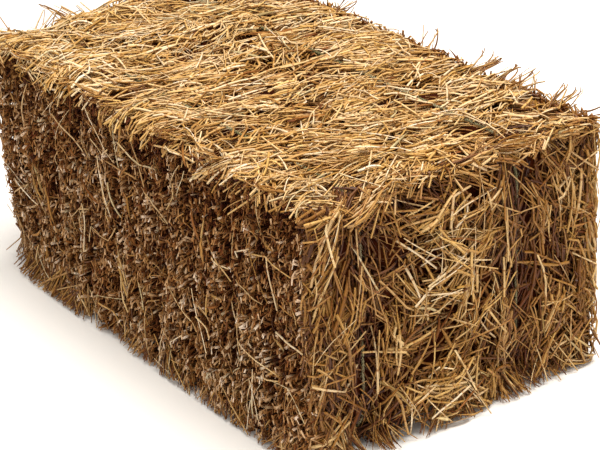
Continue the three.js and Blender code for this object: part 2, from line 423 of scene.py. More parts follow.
def partWay(share, limits):
    return limits[0] + (limits[1] - limits[0]) * np.clip(share, 0, 1)


def perPoint(values, steps):  # one value of a fibre is the same at all its points
    return {key: np.repeat(value[:, None], steps, axis=1) for key, value in values.items()}


locks = {"crossing": 1.4, "mostFan": 0.2, "patchSize": 0.13, "patchSeed": 71}
stemShape = {"lengthBias": 1.4, "radiusBias": 1.2, "kinkWithin": 0.3, "kink": 0.7}
stemLight = {"byDepth": 0.50, "byChance": 0.40, "least": 0.1, "hollow": 20 * mm, "hollowShare": (-0.4, 1.0)}


def placeLocks(name, rng, settings, band, count):  # what the stems of a lock share
    face = faces[name]
    spots = rng.uniform(band[:, 0], band[:, 1], (count, 2)) * face["half"]
    world = toWorld(face, spots[:, 0], spots[:, 1])
    heading = headingOn(name, rng, world)
    crossed = rng.random(count) < settings["crossShare"]
    heading = heading + np.where(crossed, rng.uniform(-locks["crossing"], locks["crossing"], count), 0)
    fan = np.clip(rng.normal(0, settings["fan"], count), -locks["mostFan"], locks["mostFan"])
    lift = between(rng, settings["lift"], count)
    x, y, z = world.T
    patch = ripple(x + z, y - z, locks["patchSize"], locks["patchSeed"])
    hue = rng.normal(0, settings["hueDrift"], count) + settings["patch"] * patch
    shade = rng.normal(0, settings["shadeDrift"], count) + 2 * settings["patch"] * patch
    return {"spot": spots, "heading": heading, "fan": fan, "lift": lift, "hue": hue, "shade": shade}


def layStems(name, rng, settings):  # stems that lie on a face, in locks that run nearly one way
    face = faces[name]
    halfU, halfV = face["half"]
    band, count = countOn(face, settings)
    lockCount = max(count // settings["perLock"], 1)
    shared = placeLocks(name, rng, settings, band, lockCount)
    pick = rng.integers(0, lockCount, count)
    lock = {key: value[pick] for key, value in shared.items()}
    sideways, lengthways = rng.normal(0, 1, (2, count))
    turn = lock["heading"]
    heading = turn + lock["fan"] * sideways + rng.normal(0, settings["scatter"], count)
    far, off = settings["lockLength"] * lengthways, settings["lockWidth"] * sideways
    u0 = lock["spot"][:, 0] + far * np.cos(turn) - off * np.sin(turn)
    v0 = lock["spot"][:, 1] + far * np.sin(turn) + off * np.cos(turn)

    steps = settings["points"]
    length = between(rng, settings["length"], count, stemShape["lengthBias"])
    travel = np.linspace(-0.5, 0.5, steps)[None, :] * length[:, None]
    curl = rng.normal(0, settings["curl"], count)[:, None]
    kinkAt = (rng.uniform(-stemShape["kinkWithin"], stemShape["kinkWithin"], count) * length)[:, None]
    kinked = rng.random(count) < settings["kinkShare"]
    kink = np.where(kinked, rng.normal(0, stemShape["kink"], count), 0)[:, None]
    angle = heading[:, None] + curl * travel + kink * (travel > kinkAt)
    step = (length / (steps - 1))[:, None]
    u = np.cumsum(np.cos(angle) * step, axis=1)
    v = np.cumsum(np.sin(angle) * step, axis=1)
    u = u - u.mean(1, keepdims=True) + u0[:, None]
    v = v - v.mean(1, keepdims=True) + v0[:, None]
    reach = between(rng, settings["reach"], (4, count))
    if name in upright:  # clear of the ground, and tucked under the top
        reach[2] = -between(rng, settings["footGap"], count)
        reach[3] = -between(rng, settings["headGap"], count)
    u = sidle(u, -halfU - reach[0], halfU + reach[1])
    v = sidle(v, -halfV - reach[2], halfV + reach[3])

    inside = toWorld(face, np.clip(u, -halfU, halfU), np.clip(v, -halfV, halfV))
    ground = surfaceHeight(name, inside)
    depth = rng.uniform(0, 1, count) ** settings["depthBias"]
    deepest, proudest = settings["depth"]
    height = stiffened(ground, travel, settings["stiffness"]) + lock["lift"][:, None]
    height = height + (deepest + depth * (proudest - deepest))[:, None]
    height = height + rng.normal(0, settings["tilt"], count)[:, None] * travel
    height = height - between(rng, settings["tuck"], count)[:, None] * (2 * travel / length[:, None]) ** 2
    most = between(rng, settings["droop"], count)[:, None]
    u, height = wrapOver(u, height, halfU, most)
    if name not in upright:
        v, height = wrapOver(v, height, halfV, most)

    radius = between(rng, settings["radius"], count, stemShape["radiusBias"])
    # Painted shade: deeper stems, stems in a hollow of the face (dusk) and stems by a twine take darker
    # rows; the chance and lock terms give each stem its own tone
    hollowness = np.clip(-(ground.mean(1) + lock["lift"]) / stemLight["hollow"], *stemLight["hollowShare"])
    lit = stemLight["byDepth"] * depth + stemLight["byChance"] * rng.random(count) + lock["shade"]
    lit = lit + stemLight["least"] - settings["dusk"] * hollowness
    byTwine = dip(nearest(inside[..., 1].mean(1), twineRows), relief["endGrooveWidth"])
    lit = lit - settings["twineShade"] * byTwine
    hue = rng.normal(*settings["hue"], count) + lock["hue"]
    # Stems made brighter, by painted light or by their own tone, get a paler hue as well
    hue = hue + settings["paleWhenBright"] * (np.clip(lit, 0, 1) - 0.5)
    lowest, highest = hues[settings["kind"]]
    hue = np.where(rng.random(count) < settings["greyShare"], highest, hue)
    along = np.linspace(0, 1, steps)
    turned, twist = rng.uniform(0, np.pi, count), rng.normal(0, settings["twist"], count)
    return {
        "points": settle(toWorld(face, u, v, height), radius),
        "radius": radius[:, None] * np.interp(along, *settings["taper"]),
        "roll": turned[:, None] + twist[:, None] * along,
        **perPoint({"shade": partWay(lit, settings["shade"]), "hue": np.clip(hue, lowest, highest)}, steps),
    }


stubWaves = {
    "column": ((0.6, 0.018, 0.08, 41), (0.4, 0.03, 1.0, 42)),  # the upright rows that a knife leaves
    "patch": ((0.6, 0.09, 0.25, 43), (0.4, 0.30, 1.0, 44)),
}
stubLight = {
    "least": 0.42, "byColumn": 0.30, "byHeight": 0.35, "height": 8 * mm,
    "byChance": 0.45, "chanceBias": 1.6, "underLip": 0.45, "lipReach": 0.05,
    "patchHue": 0.022, "paleWhenBright": 0.03,
}


def growStubs(name, rng, settings):  # sliced ends that stand out of a face
    face = faces[name]
    band, count = countOn(face, settings)
    u, v = (rng.uniform(band[:, 0], band[:, 1], (count, 2)) * face["half"]).T
    world = toWorld(face, u, v)
    x, z = world[:, 0], world[:, 2]
    column, patch = waves(x, z, stubWaves["column"]), waves(x, z, stubWaves["patch"])
    ground = surfaceHeight(name, world)
    tip = ground + between(rng, settings["tip"], count) + settings["columnHeight"] * column
    root = 0 * u - settings["root"]
    leanU, leanV = (rng.normal(0, 1, (2, count)).T * settings["lean"]).T * (tip + settings["root"])
    alongU, alongV, outward = [-leanU, 0 * u], [-leanV, 0 * v], [root, tip]
    if settings["bent"]:  # the tip is laid over along the face by the knife
        over = between(rng, settings["bent"], count)
        over = over * np.where(rng.random(count) < settings["bentDown"], -1, 1)
        alongU.append(settings["bentAside"] * over * rng.normal(0, 1, count))
        alongV.append(over)
        outward = [root, tip - settings["bentDrop"], tip]
    alongU, alongV, outward = (np.stack(row, axis=1) for row in (alongU, alongV, outward))
    points = toWorld(face, u[:, None] + alongU, v[:, None] + alongV, outward)
    radius = between(rng, settings["radius"], count)
    s = stubLight
    # Painted shade: stubs whose tips stand less far out, and those just under the top's overhanging lip,
    # are darker. The knife's rows are lighter where they stand out, and chance gives each stub its own
    # tone.
    lit = s["least"] + s["byColumn"] * column + s["byHeight"] * (tip - ground) / s["height"]
    lit = lit + s["byChance"] * rng.random(count) ** s["chanceBias"]
    lit = lit - s["underLip"] * dip(baleHeight - z, s["lipReach"])
    hue = rng.normal(*settings["hue"], count) + s["patchHue"] * patch
    # Stubs made brighter, by painted light or by their own tone, get a paler hue as well
    hue = hue + s["paleWhenBright"] * (np.clip(lit, 0, 1) - 0.5)
    roll = np.pi / 2 + rng.normal(0, settings["rollSpread"], count)
    return {"points": settle(points, radius), **perPoint({
        "radius": radius, "roll": roll, "shade": partWay(lit, settings["shade"]),
        "hue": np.clip(hue, *hues["cut"]),
    }, points.shape[1])}


def looseFibres(rng, settings, points, radius, tip):  # finishes stems that taper towards a loose end
    count, steps = points.shape[:2]
    return {
        "points": settle(points, radius),
        "radius": radius[:, None] * np.linspace(1.0, tip, steps),
        **perPoint({
            "roll": rng.uniform(0, np.pi, count),
            "shade": between(rng, settings["shade"], count),
            "hue": np.clip(rng.normal(*settings["hue"], count), *hues["stem"]),
        }, steps),
    }


def hangFringe(name, rng, settings):  # loose ends that hang out round the foot of an upright face
    face = faces[name]
    halfU, halfV = face["half"]
    count = int(settings["perMetre"] * 2 * halfU)
    clumps = count // settings["perClump"]
    clump = rng.integers(0, clumps, count)
    middles, leans, swells = rng.uniform(-1, 1, (3, clumps))
    start = middles[clump] * (halfU - settings["clumpInset"]) + rng.normal(0, settings["clumpWidth"], count)
    start = np.clip(start, settings["inset"] - halfU, halfU - settings["inset"])
    high, low = between(rng, settings["from"], count), between(rng, settings["to"], count)
    lean = settings["clumpLean"] * leans[clump] + rng.normal(0, settings["sway"], count)
    least, most = settings["out"][name]
    swell = np.clip(0.5 + 0.5 * swells[clump] + rng.normal(0, settings["swellSpread"], count), 0, 1)
    out = least + (most - least) * swell ** settings["swellBias"]
    inner = surfaceHeight(name, toWorld(face, start, high - halfV)) - settings["root"]
    share = np.linspace(0, 1, settings["points"])
    u = start[:, None] + (lean * (high - low))[:, None] * share
    v = (high[:, None] + (low - high)[:, None] * share) - halfV
    height = inner[:, None] + (out - inner)[:, None] * share ** settings["bow"]
    radius = between(rng, settings["radius"], count)
    return looseFibres(rng, settings, toWorld(face, u, v, height), radius, settings["tip"])


def sproutStrays(rng, settings):  # tufts of bent stalks that stand out round the edge of the top
    face = faces["top"]
    halfU, halfV = face["half"]
    tufts, count = settings["tufts"], settings["tufts"] * settings["perTuft"]
    tuft = np.repeat(np.arange(tufts), settings["perTuft"])
    place = rng.uniform(-1, 1, tufts)
    onLong = rng.random(tufts) < halfV / (halfU + halfV)  # along the long edges or the short ones
    side = np.where(rng.random(tufts) < settings["foldedShare"], 1, -1)
    outward = np.where(onLong, np.where(side > 0, 0, np.pi), side * np.pi / 2)
    outward = outward + rng.normal(0, settings["spread"], tufts)
    lifted = rng.uniform(0, 1, tufts)
    footU = np.where(onLong, side * (halfU - settings["inset"]), place * halfU)
    footV = np.where(onLong, place * halfV, side * (halfV - settings["inset"]))
    u = footU[tuft] + rng.normal(0, settings["width"], count)
    v = footV[tuft] + rng.normal(0, settings["width"], count)
    heading = outward[tuft] + rng.normal(0, settings["fan"], count)
    bend = rng.normal(0, settings["bend"], count)
    raised = lifted[tuft] + rng.normal(0, settings["liftSpread"], count)
    rise = partWay(raised, settings["rise"])
    run = between(rng, settings["run"], count)
    share = np.array(settings["stations"])
    angle = heading[:, None] + bend[:, None] * (share > 0.5)
    stride = np.diff(share, prepend=0)[None, :] * run[:, None]
    bow = between(rng, settings["bow"], count)[:, None]
    height = -settings["root"] + (rise[:, None] + settings["root"]) * share ** bow
    radius = between(rng, settings["radius"], count)
    points = toWorld(face, u[:, None] + np.cumsum(np.cos(angle) * stride, axis=1),
                     v[:, None] + np.cumsum(np.sin(angle) * stride, axis=1), height)
    return looseFibres(rng, settings, points, radius, settings["tip"])


fibreValues = ("radius", "roll", "hue", "shade")  # what each fibre's points carry
strawMouth = {"width": 0.62, "depth": 4 * mm, "mostSides": 4}


def startTree(name, sizes):  # geometry in and out, and a named input for each size
    tree = bpy.data.node_groups.new(name, "GeometryNodeTree")
    for way in ("INPUT", "OUTPUT"):
        tree.interface.new_socket("Geometry", in_out=way, socket_type="NodeSocketGeometry")
    sockets = {}
    for size, kind in sizes.items():
        socket = tree.interface.new_socket(size, in_out="INPUT", socket_type="NodeSocket" + kind)
        sockets[size] = socket.identifier
    return tree, addNode(tree, "NodeGroupInput"), sockets


def endTree(tree, geometry, material, smooth):
    soft = addNode(tree, "GeometryNodeSetShadeSmooth", inputs={
        "Geometry": geometry, "Shade Smooth": smooth,
    })
    real = addNode(tree, "GeometryNodeRealizeInstances", inputs={0: soft})
    finish = addNode(tree, "GeometryNodeSetMaterial", inputs={"Geometry": real, "Material": material})
    addNode(tree, "NodeGroupOutput", inputs={0: finish})


def sweepTree(name, material, sides, flatness, hollow, smooth):
    tree, entry, sockets = startTree(name, {"Sides": "Int", "Flatness": "Float"})
    curves = addNode(tree, "GeometryNodeMeshToCurve", inputs={0: entry.outputs["Geometry"]})
    named = {}
    for key in fibreValues:
        named[key] = addNode(tree, "GeometryNodeInputNamedAttribute", {"data_type": "FLOAT"}, {"Name": key})
    rolled = addNode(tree, "GeometryNodeSetCurveTilt", inputs={"Curve": curves, "Tilt": named["roll"]})
    factor = addNode(tree, "GeometryNodeSplineParameter")
    kept = addNode(tree, "GeometryNodeCaptureAttribute", {"domain": "POINT"}, {
        "Geometry": rolled, "along": factor.outputs["Factor"],
    }, "along")
    circle = addNode(tree, "GeometryNodeCurvePrimitiveCircle", inputs={
        "Resolution": entry.outputs["Sides"], "Radius": 1.0,
    })
    squash = addNode(tree, "ShaderNodeCombineXYZ", inputs={0: 1.0, 1: entry.outputs["Flatness"], 2: 1.0})
    profile = addNode(tree, "GeometryNodeTransform", inputs={"Geometry": circle, "Scale": squash})
    wound = addNode(tree, "GeometryNodeCaptureAttribute", {"domain": "POINT"}, {
        "Geometry": profile, "around": factor.outputs["Factor"],
    }, "around")
    body = addNode(tree, "GeometryNodeCurveToMesh", inputs={
        "Curve": kept.outputs["Geometry"], "Profile Curve": wound.outputs["Geometry"],
        "Scale": named["radius"], "Fill Caps": True,
    })
    row = addNode(tree, "ShaderNodeMath", {"operation": "MULTIPLY"}, {
        0: named["shade"], 1: chart["rows"] - chart["slack"],
    })
    level = addNode(tree, "ShaderNodeMath", {"operation": "FLOOR"}, {0: row})
    if hollow:  # the cut end is drawn in and pushed back down its middle, which gets the lowest chart row: painted shade inside the straw
        corners = addNode(tree, "GeometryNodeInputMeshFaceNeighbors")
        isCap = addNode(tree, "FunctionNodeCompare", {"data_type": "INT", "operation": "GREATER_THAN"}, {
            2: corners.outputs["Vertex Count"], 3: strawMouth["mostSides"],
        })
        tipOnly = addNode(tree, "ShaderNodeMath", {"operation": "MULTIPLY"}, {
            0: isCap, 1: kept.outputs["along"],
        })
        rim = addNode(tree, "GeometryNodeExtrudeMesh", {"mode": "FACES"}, {
            "Mesh": body, "Selection": tipOnly, "Offset Scale": 0.0,
        })
        drawn = addNode(tree, "GeometryNodeScaleElements", inputs={
            0: rim.outputs["Mesh"], "Selection": rim.outputs["Top"], "Scale": strawMouth["width"],
        })
        sunk = addNode(tree, "GeometryNodeExtrudeMesh", {"mode": "FACES"}, {
            "Mesh": drawn, "Selection": rim.outputs["Top"], "Offset Scale": -strawMouth["depth"],
        })
        body = sunk.outputs["Mesh"]
        mouth = addNode(tree, "FunctionNodeBooleanMath", {"operation": "OR"}, {
            0: sunk.outputs["Top"], 1: sunk.outputs["Side"],
        })
        level = addNode(tree, "GeometryNodeSwitch", {"input_type": "FLOAT"}, {
            "Switch": mouth, "False": level, "True": 0.0,
        })
    acrossUv = addNode(tree, "ShaderNodeMath", {"operation": "MULTIPLY_ADD"}, {
        0: wound.outputs["around"], 1: chart["hueWidth"], 2: named["hue"],
    })
    inRow = addNode(tree, "ShaderNodeMath", {"operation": "MULTIPLY_ADD"}, {
        0: kept.outputs["along"], 1: 1 - 2 * chart["rowMargin"], 2: chart["rowMargin"],
    })
    upwards = addNode(tree, "ShaderNodeMath", {"operation": "ADD"}, {0: level, 1: inRow})
    upUv = addNode(tree, "ShaderNodeMath", {"operation": "DIVIDE"}, {0: upwards, 1: chart["rows"]})
    place = addNode(tree, "ShaderNodeCombineXYZ", inputs={0: acrossUv, 1: upUv})
    stored = addNode(tree, "GeometryNodeStoreNamedAttribute", {"data_type": "FLOAT2", "domain": "CORNER"}, {
        "Geometry": body, "Name": "OFBake", "Value": place,
    })
    endTree(tree, stored, material, smooth)
    return tree, {sockets["Sides"]: sides, sockets["Flatness"]: flatness}


def plainMesh(source, tree, values, drop):  # runs a node tree on an object and keeps the mesh
    modifier = source.modifiers.new(tree.name, "NODES")
    modifier.node_group = tree
    for identifier, value in values.items():
        modifier[identifier] = value
    graph = bpy.context.evaluated_depsgraph_get()
    result = bpy.data.meshes.new_from_object(
        source.evaluated_get(graph), preserve_all_data_layers=True, depsgraph=graph)
    bpy.data.objects.remove(source)
    for name in [a.name for a in result.attributes if a.name in drop]:
        result.attributes.remove(result.attributes[name])
    return addObject(result.name, result)


def sweep(name, group, tree, values):  # edges become stems by the tree, then a plain mesh
    count, steps = group["points"].shape[:2]
    mesh = bpy.data.meshes.new(name)
    mesh.vertices.add(count * steps)
    mesh.vertices.foreach_set("co", group["points"].astype(np.float32).ravel())
    starts = (np.arange(count)[:, None] * steps + np.arange(steps - 1)[None, :]).ravel()
    mesh.edges.add(len(starts))
    mesh.edges.foreach_set("vertices", np.stack([starts, starts + 1], axis=1).astype(np.int32).ravel())
    for key in fibreValues:
        layer = mesh.attributes.new(key, "FLOAT", "POINT")
        layer.data.foreach_set("value", group[key].astype(np.float32).ravel())
    return plainMesh(addObject(name, mesh), tree, values, (*fibreValues, "along", "around"))


everywhere = ((-1.0, 1.0), (-1.0, 1.0))
evenTaper = ((0.0, 1.0), (1.0, 0.9))
bladeTaper = ((0.0, 0.25, 0.6, 1.0), (0.45, 1.0, 0.8, 0.12))
topStems = {
    "kind": "stem", "band": everywhere, "perSquareMetre": 13000, "perLock": 8, "points": 5,
    "length": (0.016, 0.075), "curl": 5.0, "kinkShare": 0.34, "crossShare": 0.20,
    "lockWidth": 10 * mm, "lockLength": 13 * mm, "fan": 0.12, "scatter": 0.17,
    "lift": (-5 * mm, 2 * mm), "reach": (-0.016, 0.012), "footGap": (1 * mm, 10 * mm),
    "headGap": (0.0, 14 * mm), "depth": (-8 * mm, 4 * mm), "depthBias": 0.8, "tilt": 0.06,
    "tuck": (-2 * mm, 6 * mm), "droop": (0.0, 0.9), "stiffness": 0.7,
    "radius": (1.05 * mm, 2.3 * mm), "taper": evenTaper, "twist": 0.5,
    "shade": (0.46, 1.0), "shadeDrift": 0.12, "dusk": 0.30, "twineShade": 0.0,
    "hue": (0.255, 0.06), "hueDrift": 0.05, "patch": 0.02, "paleWhenBright": 0.09, "greyShare": 0.015,
}
looseStems = {  # a few long stems on their own over the rest
    **topStems, "perSquareMetre": 800, "perLock": 1, "points": 6, "length": (0.03, 0.095),
    "crossShare": 0.6, "kinkShare": 0.4, "curl": 2.5, "lift": (0.0, 3 * mm), "depth": (0.0, 5 * mm),
    "tilt": 0.12, "radius": (0.9 * mm, 2.0 * mm), "shade": (0.6, 1.0), "hue": (0.33, 0.06),
}
thinStems = {  # ribs and threads of torn leaf
    **topStems, "perSquareMetre": 2200, "radius": (0.35 * mm, 0.8 * mm), "curl": 9.0, "scatter": 0.4,
}
deepStems = {  # what shows in the gaps, in darker rows of painted shade
    **topStems, "perSquareMetre": 4500, "points": 4, "depth": (-16 * mm, -8 * mm), "lift": (-2 * mm, 0.0),
    "reach": (-0.02, -0.008), "radius": (1.2 * mm, 2.4 * mm), "shade": (0.18, 0.6), "hue": (0.17, 0.07),
}
cornerStems = {  # behind the edges of the bale, so that no light comes through them
    **deepStems, "perSquareMetre": 15000, "depth": (-14 * mm, -5 * mm), "reach": (-0.006, 0.0),
    "length": (0.03, 0.09), "radius": (1.8 * mm, 3.4 * mm),
}
leafBlades = {
    **topStems, "kind": "leaf", "perSquareMetre": 700, "perLock": 3, "points": 6, "taper": bladeTaper,
    "length": (0.02, 0.08), "curl": 9.0, "scatter": 0.4, "twist": 1.6, "depth": (-4 * mm, 4 * mm),
    "tilt": 0.12, "radius": (1.5 * mm, 3.2 * mm), "shade": (0.3, 0.95), "hue": (0.62, 0.04),
    "hueDrift": 0.03,
}
# Painted shade: the ends, the folded side and the cut side take lower, darker chart rows than the top
endLook = {
    "shade": (0.09, 0.95), "hue": (0.18, 0.07), "radius": (1.2 * mm, 2.8 * mm), "droop": (0.2, 1.1),
    "reach": (-0.010, 0.008), "dusk": 0.45, "stiffness": 0.6, "twineShade": 0.2,
}
foldedLook = {"shade": (0.15, 0.9), "hue": (0.20, 0.07), "reach": (-0.004, 0.008)}
farCorner = {**cornerStems, "depth": (-26 * mm, -8 * mm)}
knifeCorner = {**cornerStems, "depth": (-22 * mm, -7 * mm), "shade": (0.1, 0.45)}
faceLayers = {
    "top": [
        topStems,
        looseStems,
        thinStems,
        {**deepStems, "shade": (0.32, 0.72), "hue": (0.2, 0.05)},
        leafBlades,
        # Painted light: the lip over the cut side takes slightly lighter rows than the rest of the top
        {**topStems, "band": ((-1.0, -0.86), (-1.0, 1.0)), "perSquareMetre": 9000, "length": (0.03, 0.09),
         "reach": (-0.004, 0.019), "droop": (0.1, 1.0), "lift": (-3 * mm, 2 * mm), "shade": (0.55, 1.0)},
        {**topStems, "band": ((-1.0, 1.0), (-1.0, -0.93)), "perSquareMetre": 6000, "length": (0.03, 0.10),
         "reach": (-0.004, 0.022), "droop": (0.2, 1.2)},
        {**cornerStems, "band": ((0.84, 1.0), (-1.0, 1.0))},
        {**cornerStems, "band": ((-1.0, 1.0), (0.93, 1.0))},
    ],
    "bottom": [
        {**topStems, "perSquareMetre": 5000, "points": 4, "depth": (-7 * mm, 2 * mm),
         "reach": (-0.045, -0.020), "radius": (1.2 * mm, 2.3 * mm), "shade": (0.2, 0.75)},
    ],
    "front": [
        {**topStems, **endLook, "perSquareMetre": 12500, "perLock": 9, "fan": 0.2, "kinkShare": 0.35,
         "length": (0.02, 0.085), "depth": (-9 * mm, 4 * mm), "lift": (-8 * mm, 3 * mm)},
        {**looseStems, "perSquareMetre": 1300, "length": (0.04, 0.11), "crossShare": 0.4,
         "reach": (-0.01, 0.006), "depth": (-2 * mm, 3 * mm), "stiffness": 0.65,
         "radius": (0.9 * mm, 2.2 * mm), "shade": (0.35, 0.95), "hue": (0.27, 0.06), "dusk": 0.5},
        {**thinStems, **endLook, "perSquareMetre": 2600, "radius": (0.35 * mm, 0.9 * mm)},
        {**deepStems, "perSquareMetre": 6000, "depth": (-20 * mm, -9 * mm), "reach": (-0.009, -0.003)},
        {**leafBlades, **endLook, "hue": (0.60, 0.04), "radius": (1.5 * mm, 3.2 * mm)},
        {**cornerStems, "band": ((-1.0, -0.9), (-1.0, 1.0))},
        {**cornerStems, "band": ((0.9, 1.0), (-1.0, 1.0))},
    ],
    "folded": [
        {**topStems, **foldedLook, "perSquareMetre": 8500, "length": (0.03, 0.11), "curl": 8.0,
         "tuck": (2 * mm, 12 * mm)},
        {**looseStems, "perSquareMetre": 600, "reach": (-0.01, 0.006)},
        {**thinStems, **foldedLook},
        {**deepStems, "reach": (-0.009, -0.003)},
        {**leafBlades, **foldedLook, "hue": (0.61, 0.04)},
        {**cornerStems, "band": ((-1.0, 1.0), (0.8, 1.0)), "headGap": (1 * mm, 8 * mm),
         "depth": (-18 * mm, -9 * mm)},
        {**farCorner, "band": ((-1.0, -0.9), (-1.0, 1.0))},
        {**farCorner, "band": ((0.9, 1.0), (-1.0, 1.0))},
    ],
    "cut": [
        {**topStems, "band": ((-1.0, 1.0), (-1.0, 0.9)), "perSquareMetre": 3500, "perLock": 3, "points": 4,
         "length": (0.010, 0.035), "curl": 10.0, "crossShare": 0.3, "reach": (-0.006, 0.003),
         "depth": (-5 * mm, 3 * mm), "tilt": 0.3, "radius": (0.5 * mm, 1.3 * mm), "shade": (0.1, 0.75),
         "hue": (0.15, 0.06)},
        {**looseStems, "perSquareMetre": 340, "length": (0.025, 0.10), "curl": 1.5, "reach": (-0.02, 0.0),
         "depth": (1 * mm, 5 * mm), "radius": (0.7 * mm, 1.7 * mm), "shade": (0.55, 1.0)},
        {**leafBlades, "perSquareMetre": 250, "reach": (-0.01, 0.0), "shade": (0.2, 0.8),
         "hue": (0.60, 0.04)},
        {**knifeCorner, "band": ((-1.0, -0.94), (-1.0, 0.95))},
        {**knifeCorner, "band": ((0.94, 1.0), (-1.0, 0.95))},
    ],
}
faceLayers["back"] = faceLayers["front"]
cutStubs = {
    "kind": "stub", "band": ((-0.985, 0.985), (-0.97, 0.94)), "perSquareMetre": 20000,
    "tip": (-8 * mm, 1 * mm), "root": 18 * mm, "lean": (0.2, 0.35), "columnHeight": 3.5 * mm,
    "radius": (0.8 * mm, 1.9 * mm), "rollSpread": 0.7, "shade": (0.12, 0.97), "hue": (0.806, 0.024),
    "bent": None,
}
bentStubs = {
    **cutStubs, "kind": "bent", "perSquareMetre": 34000, "tip": (-7 * mm, 3 * mm), "root": 14 * mm,
    "radius": (0.6 * mm, 1.6 * mm), "rollSpread": 1.5,
    "bent": (3 * mm, 10 * mm), "bentDown": 0.7, "bentAside": 0.3, "bentDrop": 1.5 * mm,
}
openStubs = {  # whole straws, cut across and still round
    **cutStubs, "kind": "open", "perSquareMetre": 2600, "tip": (-3 * mm, 4 * mm), "rollSpread": 1.5,
    "radius": (1.3 * mm, 2.1 * mm), "shade": (0.35, 1.0), "hue": (0.835, 0.02),
}
fringe = {
    "perMetre": 740, "perClump": 9, "clumpWidth": 4.5 * mm, "clumpInset": 12 * mm, "clumpLean": 0.6,
    "points": 3, "from": (8 * mm, 52 * mm), "to": (1.5 * mm, 12 * mm), "inset": 8 * mm, "root": 7 * mm,
    "sway": 0.5, "bow": 1.3, "swellSpread": 0.2, "swellBias": 1.4,
    "out": {"cut": (3 * mm, 26 * mm), "folded": (-4 * mm, 12 * mm), "front": (-4 * mm, 14 * mm),
            "back": (-4 * mm, 14 * mm)},
    "radius": (0.8 * mm, 2.0 * mm), "tip": 0.55, "shade": (0.12, 0.85), "hue": (0.20, 0.08),
}
strays = {
    "tufts": 60, "perTuft": 6, "foldedShare": 0.6, "spread": 0.5, "inset": 20 * mm, "width": 8 * mm,
    "fan": 0.16, "bend": 0.12, "rise": (0.0, 15 * mm), "liftSpread": 0.2, "run": (24 * mm, 58 * mm),
    "bow": (0.6, 1.3), "root": 8 * mm, "stations": (0.0, 0.3, 0.55, 0.8, 1.0),
    "radius": (0.8 * mm, 1.9 * mm), "tip": 0.6, "shade": (0.3, 0.95), "hue": (0.24, 0.08),
}
seeds = {"faces": 100, "stubs": 200, "strays": 220, "hairs": 300}


def gather(groups):  # groups of the same point count become one
    bySteps = {}
    for group in groups:
        bySteps.setdefault(group["points"].shape[1], []).append(group)
    return [{key: np.concatenate([g[key] for g in same]) for key in same[0]} for same in bySteps.values()]


def spreadFibres():
    laid = {"stem": [], "leaf": [], "stub": [], "bent": [], "open": []}
    for number, name in enumerate(faces):
        rng = np.random.default_rng(seeds["faces"] + number)
        for layer in faceLayers[name]:
            laid[layer["kind"]].append(layStems(name, rng, layer))
        if name in upright:
            laid["stem"].append(hangFringe(name, rng, fringe))
    laid["stem"].append(sproutStrays(np.random.default_rng(seeds["strays"]), strays))
    for number, layer in enumerate((cutStubs, bentStubs, openStubs)):
        rng = np.random.default_rng(seeds["stubs"] + number)
        laid[layer["kind"]].append(growStubs("cut", rng, layer))
    return {kind: gather(groups) for kind, groups in laid.items()}


fibres = spreadFibres()
print("fibres laid:", sum(len(g["hue"]) for groups in fibres.values() for g in groups))
sweeps = {  # sides, flatness, whether the tip is open, and whether it is shaded smooth
    "stem": sweepTree("sweepStems", wheatStem, 3, 0.75, False, True),
    "leaf": sweepTree("sweepLeaves", strawLeaf, 4, 0.12, False, True),
    "stub": sweepTree("sweepStubs", cutStem, 4, 0.45, False, False),
    "bent": sweepTree("sweepBentStubs", cutStem, 3, 0.5, False, False),
    "open": sweepTree("sweepStraws", cutStem, 5, 0.85, True, False),
}

core = {
    "inset": 15 * mm, "rough": 8 * mm, "endInset": -2 * mm, "voxel": 14 * mm, "weld": 0.01 * mm,
    "lump": 34 * mm, "lumpSeed": 61, "fineShare": 0.6, "fineSize": 0.45, "fineSeed": 62,
    "row": 3.3, "rise": 0.5,  # its painted-shade row up the chart at the foot of the bale, and how much lighter it gets towards the top
}
flakeGap = 0.3 * mm


